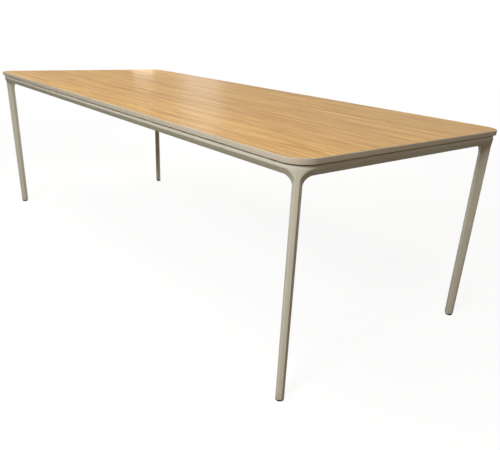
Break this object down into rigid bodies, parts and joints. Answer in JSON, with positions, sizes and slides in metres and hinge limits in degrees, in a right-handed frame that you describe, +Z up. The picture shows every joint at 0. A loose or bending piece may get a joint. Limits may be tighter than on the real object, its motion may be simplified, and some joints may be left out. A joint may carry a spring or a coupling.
{
  "type": "conference table",
  "caption": "Long conference table: thin oak-faced top with rounded corners on a slim sand-coloured metal frame, with slender corner legs and levelling feet.",
  "frame": {"origin": "on the floor under the middle of the top, with the feet screwed in", "axes": "+X along the table's length, +Y across it, +Z up"},
  "size_m": [2.4, 1, 0.745],
  "materials": {
    "oak": "satin lacquered oak veneer, grain along the length",
    "board": "raw particle board",
    "backing": "matte backing sheet",
    "edge_band": "satin sand-coloured edge band",
    "sand_coat": "satin sand powder coat on aluminium",
    "coated_steel": "satin sand powder coat on steel",
    "zinc_steel": "bright zinc plate",
    "black_nylon": "black moulded nylon",
    "brass": "turned brass"
  },
  "bodies": {
    "table": {"back_leg_screw_1": "zinc_steel", "back_leg_screw_2": "zinc_steel", "back_rail": "sand_coat", "back_top_screw_1": "zinc_steel", "back_top_screw_2": "zinc_steel", "back_top_screw_3": "zinc_steel", "back_top_screw_4": "zinc_steel", "backing_sheet": "backing", "beam_bracket_back_1": "coated_steel", "beam_bracket_back_2": "coated_steel", "beam_bracket_front_1": "coated_steel", "beam_bracket_front_2": "coated_steel", "beam_screw_back_1": "zinc_steel", "beam_screw_back_2": "zinc_steel", "beam_screw_front_1": "zinc_steel", "beam_screw_front_2": "zinc_steel", "bracket_bolt_back_1": "zinc_steel", "bracket_bolt_back_2": "zinc_steel", "bracket_bolt_front_1": "zinc_steel", "bracket_bolt_front_2": "zinc_steel", "cross_beam_left": "coated_steel", "cross_beam_right": "coated_steel", "edge_band": "edge_band", "front_leg_screw_1": "zinc_steel", "front_leg_screw_2": "zinc_steel", "front_rail": "sand_coat", "front_top_screw_1": "zinc_steel", "front_top_screw_2": "zinc_steel", "front_top_screw_3": "zinc_steel", "front_top_screw_4": "zinc_steel", "left_end_leg_screw_1": "zinc_steel", "left_end_leg_screw_2": "zinc_steel", "left_end_rail": "sand_coat", "left_end_top_screw_1": "zinc_steel", "left_end_top_screw_2": "zinc_steel", "leg_back_left": "sand_coat", "leg_back_right": "sand_coat", "leg_front_left": "sand_coat", "leg_front_right": "sand_coat", "oak_top_sheet": "oak", "right_end_leg_screw_1": "zinc_steel", "right_end_leg_screw_2": "zinc_steel", "right_end_rail": "sand_coat", "right_end_top_screw_1": "zinc_steel", "right_end_top_screw_2": "zinc_steel", "tabletop_core": "board", "threaded_insert_back_left": "brass", "threaded_insert_back_right": "brass", "threaded_insert_front_left": "brass", "threaded_insert_front_right": "brass"},
    "foot_front_right": {"foot_pad_front_right": "black_nylon"},
    "stud_front_right": {"levelling_stud_front_right": "zinc_steel"},
    "foot_back_right": {"foot_pad_back_right": "black_nylon"},
    "stud_back_right": {"levelling_stud_back_right": "zinc_steel"},
    "foot_back_left": {"foot_pad_back_left": "black_nylon"},
    "stud_back_left": {"levelling_stud_back_left": "zinc_steel"},
    "foot_front_left": {"foot_pad_front_left": "black_nylon"},
    "stud_front_left": {"levelling_stud_front_left": "zinc_steel"}
  },
  "joints": [
    {"name": "level_front_right", "type": "slide", "parent": "table", "child": "foot_front_right", "axis": [0, 0, -1], "range_m": [0, 0.01]},
    {"name": "spin_front_right", "type": "hinge", "parent": "foot_front_right", "child": "stud_front_right", "pos_m": [1.16306, -0.46306, 0.02], "axis": [0, 0, -1], "range_deg": [0, 2881]},
    {"name": "level_back_right", "type": "slide", "parent": "table", "child": "foot_back_right", "axis": [0, 0, -1], "range_m": [0, 0.01]},
    {"name": "spin_back_right", "type": "hinge", "parent": "foot_back_right", "child": "stud_back_right", "pos_m": [1.16306, 0.46306, 0.02], "axis": [0, 0, -1], "range_deg": [0, 2881]},
    {"name": "level_back_left", "type": "slide", "parent": "table", "child": "foot_back_left", "axis": [0, 0, -1], "range_m": [0, 0.01]},
    {"name": "spin_back_left", "type": "hinge", "parent": "foot_back_left", "child": "stud_back_left", "pos_m": [-1.16306, 0.46306, 0.02], "axis": [0, 0, -1], "range_deg": [0, 2881]},
    {"name": "level_front_left", "type": "slide", "parent": "table", "child": "foot_front_left", "axis": [0, 0, -1], "range_m": [0, 0.01]},
    {"name": "spin_front_left", "type": "hinge", "parent": "foot_front_left", "child": "stud_front_left", "pos_m": [-1.16306, -0.46306, 0.02], "axis": [0, 0, -1], "range_deg": [0, 2881]}
  ],
  "couplings": [
    {"joint": "spin_front_right", "follows": "level_front_right", "rad_per_m": 5026.5},
    {"joint": "spin_back_right", "follows": "level_back_right", "rad_per_m": 5026.5},
    {"joint": "spin_back_left", "follows": "level_back_left", "rad_per_m": 5026.5},
    {"joint": "spin_front_left", "follows": "level_front_left", "rad_per_m": 5026.5}
  ]
}
